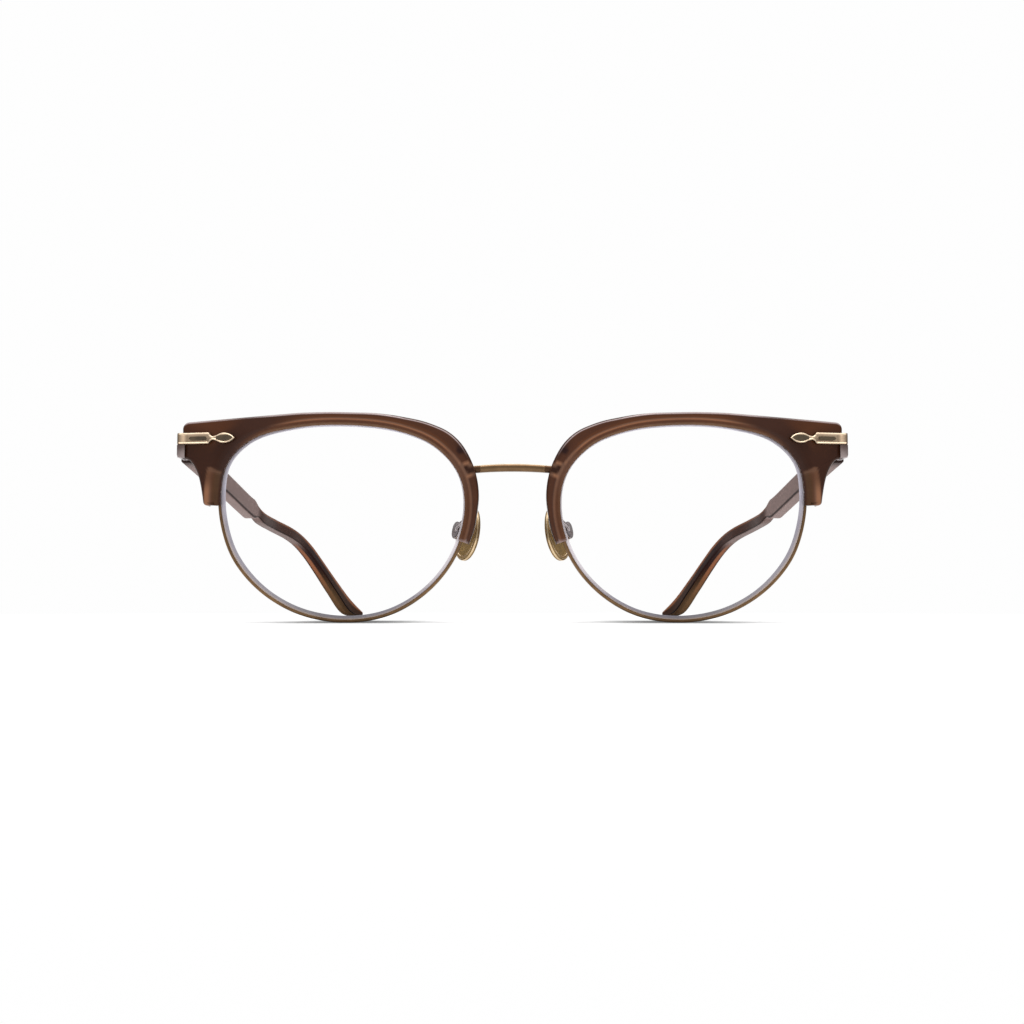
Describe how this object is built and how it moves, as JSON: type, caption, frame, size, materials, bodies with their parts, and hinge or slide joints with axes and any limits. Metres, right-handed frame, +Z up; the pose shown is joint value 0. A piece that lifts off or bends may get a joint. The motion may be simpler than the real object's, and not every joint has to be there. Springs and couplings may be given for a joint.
{
  "type": "panto eyeglasses",
  "caption": "Panto eyeglasses: brown translucent brows on thin metal eyewires, gold plaques, metal nose pads on bent arms and two folding acetate temples.",
  "frame": {"origin": "centre of the bounding box's base, on the surface that the rims and temple tips stand on", "axes": "+X towards the wearer's left, +Y back along the temples, +Z up"},
  "size_m": [0.1454, 0.1454, 0.0447],
  "materials": {
    "brown_acetate": "polished translucent acetate",
    "temple_acetate": "polished translucent acetate",
    "antique_gold": "satin antique plating",
    "pale_gold": "polished pale gold plating",
    "grey_metal": "satin",
    "screw_steel": "satin",
    "clear_lens": "clear with a ground edge"
  },
  "bodies": {
    "front": {"bridge": "antique_gold", "brow_left": "brown_acetate", "eyewire_left": "antique_gold", "lens_left": "clear_lens", "brow_screw_left": "screw_steel", "endpiece_screw_left": "screw_steel", "closing_screw_left": "screw_steel", "plaque_left": "pale_gold", "endpiece_left": "grey_metal", "hinge_screw_left": "screw_steel", "pad_arm_left": "grey_metal", "pad_screw_left": "screw_steel", "brow_right": "brown_acetate", "eyewire_right": "antique_gold", "lens_right": "clear_lens", "brow_screw_right": "screw_steel", "endpiece_screw_right": "screw_steel", "closing_screw_right": "screw_steel", "plaque_right": "pale_gold", "endpiece_right": "grey_metal", "hinge_screw_right": "screw_steel", "pad_arm_right": "grey_metal", "pad_screw_right": "screw_steel"},
    "left_temple": {"temple_left": "temple_acetate", "temple_core_left": "screw_steel", "temple_hinge_left": "grey_metal"},
    "right_temple": {"temple_right": "temple_acetate", "temple_core_right": "screw_steel", "temple_hinge_right": "grey_metal"},
    "left_pad": {"nose_pad_left": "pale_gold"},
    "right_pad": {"nose_pad_right": "pale_gold"}
  },
  "joints": [
    {"name": "temple_left_fold", "type": "hinge", "parent": "front", "child": "left_temple", "pos_m": [0.06837, -0.06048, 0.0373], "axis": [0, 0, 1], "range_deg": [0, 83]},
    {"name": "temple_right_fold", "type": "hinge", "parent": "front", "child": "right_temple", "pos_m": [-0.06837, -0.06048, 0.0373], "axis": [0, 0, -1], "range_deg": [0, 76]},
    {"name": "nose_pad_left_rock", "type": "hinge", "parent": "front", "child": "left_pad", "pos_m": [0.01137, -0.06463, 0.01965], "axis": [0.6428, 0.766, 0], "range_deg": [-10, 10]},
    {"name": "nose_pad_right_rock", "type": "hinge", "parent": "front", "child": "right_pad", "pos_m": [-0.01137, -0.06463, 0.01965], "axis": [-0.6428, 0.766, 0], "range_deg": [-10, 10]}
  ]
}
